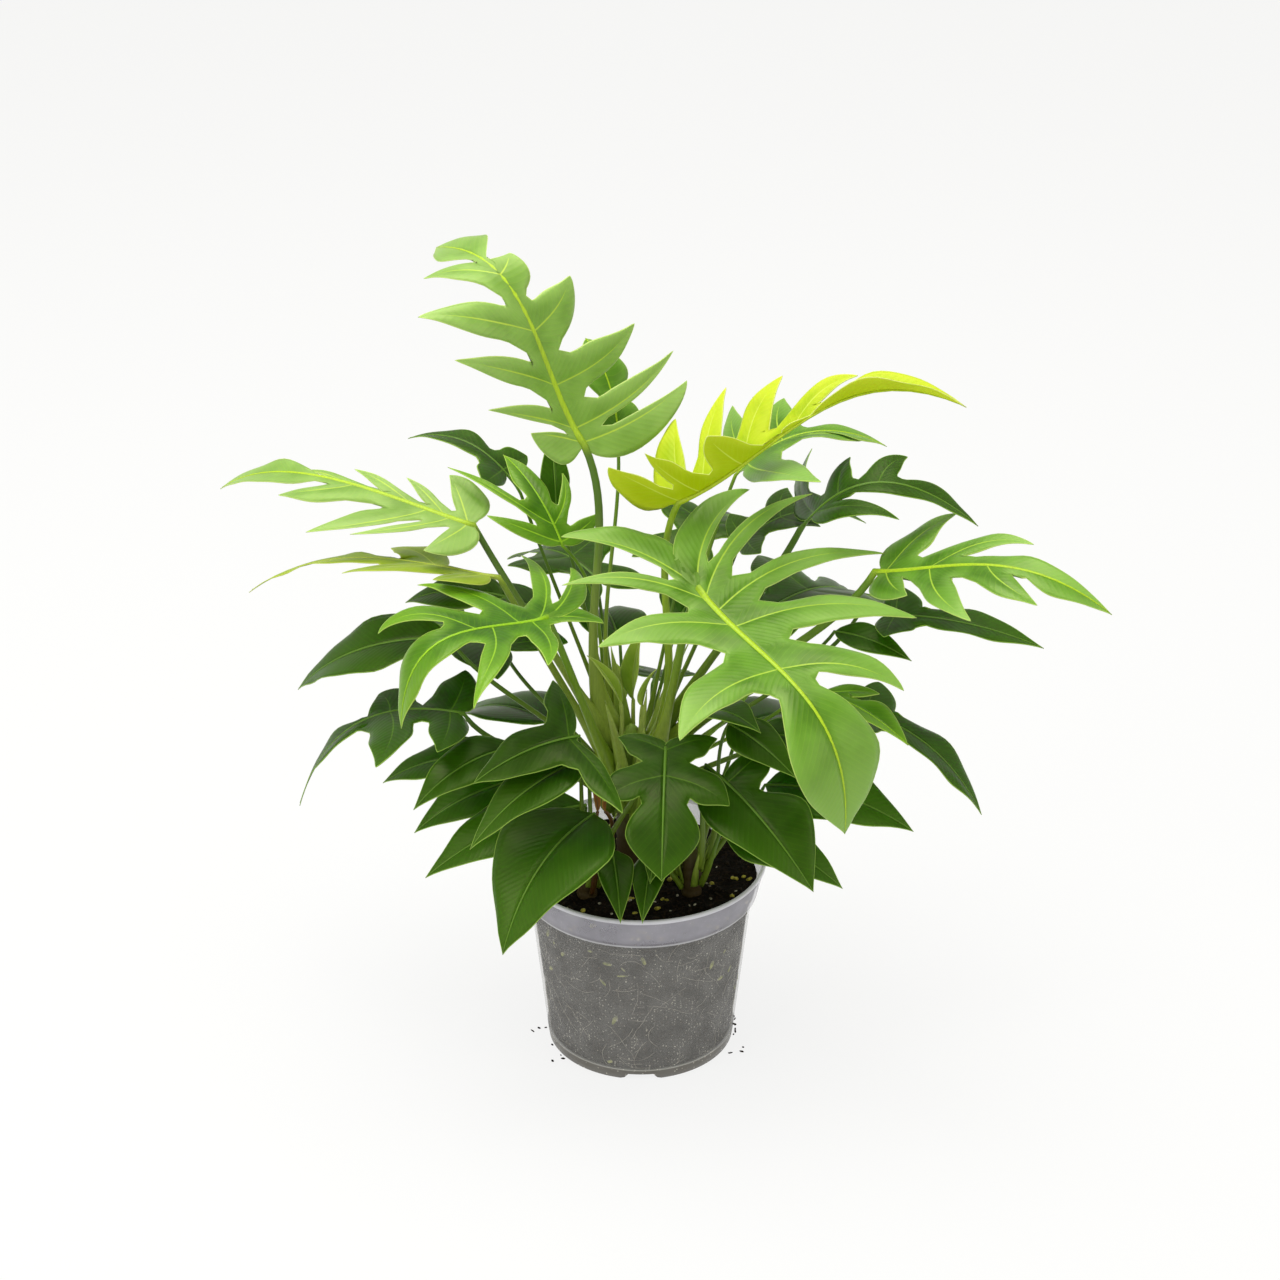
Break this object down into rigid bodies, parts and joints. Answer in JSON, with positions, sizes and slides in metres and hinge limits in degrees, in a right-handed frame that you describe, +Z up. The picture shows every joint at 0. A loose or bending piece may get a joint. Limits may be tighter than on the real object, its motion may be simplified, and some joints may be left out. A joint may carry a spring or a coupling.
{
  "type": "potted philodendron plant",
  "caption": "Leafy potted philodendron with deeply lobed and plain leaves on long stalks, in a tapered translucent nursery pot with a collar rim, filled with peat.",
  "frame": {"origin": "on the pot's axis at the underside of its foot ring, which is also the middle of the plant's bounding box at its bottom", "axes": "+Z up along the pot's axis; +X along the plant's widest spread, to the right seen from the front; -Y towards the front"},
  "size_m": [0.573, 0.3223, 0.5575],
  "materials": {
    "leaf_dark": "semi-gloss, pale fine margin",
    "leaf_mid": "semi-gloss, chartreuse midrib",
    "leaf_bright": "semi-gloss",
    "leaf_new": "soft semi-gloss, yellow-green",
    "green_stem": "smooth green",
    "young_sheath": "smooth pale green",
    "dry_sheath": "dry, papery brown",
    "peat": "rough, moist, near black",
    "pot_plastic": "translucent, milky, semi-gloss"
  },
  "bodies": {
    "root": {"leaf_back_a": "leaf_mid", "leaf_back_b": "leaf_mid", "leaf_back_c": "leaf_dark", "leaf_back_d": "leaf_dark", "leaf_back_e": "leaf_dark", "leaf_back_f": "leaf_dark", "leaf_back_g": "leaf_dark", "leaf_bright": "leaf_bright", "leaf_centre": "leaf_dark", "leaf_dark_left": "leaf_dark", "leaf_dark_upper": "leaf_dark", "leaf_front": "leaf_mid", "leaf_front_left": "leaf_bright", "leaf_inner_right": "leaf_dark", "leaf_inner_small": "leaf_bright", "leaf_left": "leaf_bright", "leaf_left_rear": "leaf_dark", "leaf_low_front": "leaf_dark", "leaf_low_left_a": "leaf_dark", "leaf_low_left_b": "leaf_dark", "leaf_low_left_c": "leaf_dark", "leaf_low_left_d": "leaf_dark", "leaf_low_left_e": "leaf_dark", "leaf_low_left_lobed": "leaf_dark", "leaf_low_right_a": "leaf_dark", "leaf_low_right_b": "leaf_dark", "leaf_low_right_c": "leaf_dark", "leaf_low_right_d": "leaf_dark", "leaf_mid_back_a": "leaf_dark", "leaf_mid_back_b": "leaf_dark", "leaf_mid_front": "leaf_dark", "leaf_mid_left": "leaf_dark", "leaf_mid_right": "leaf_dark", "leaf_new": "leaf_new", "leaf_new_rear": "leaf_mid", "leaf_olive": "leaf_bright", "leaf_rear_blade": "leaf_dark", "leaf_right": "leaf_mid", "leaf_right_bright": "leaf_bright", "leaf_right_dark": "leaf_dark", "leaf_right_low_lobed": "leaf_dark", "leaf_right_small": "leaf_dark", "leaf_rim_a": "leaf_dark", "leaf_rim_b": "leaf_dark", "leaf_rim_c": "leaf_dark", "leaf_three_lobed": "leaf_dark", "leaf_top": "leaf_mid", "leaf_top_rear": "leaf_mid", "leaf_upper_right": "leaf_mid", "pot": "pot_plastic", "sheath_a": "young_sheath", "sheath_b": "young_sheath", "sheath_c": "young_sheath", "sheath_d": "young_sheath", "sheath_dry_a": "dry_sheath", "sheath_dry_b": "dry_sheath", "soil": "peat", "stem_left": "green_stem", "stem_main": "green_stem", "stem_right": "green_stem"}
  },
  "joints": []
}
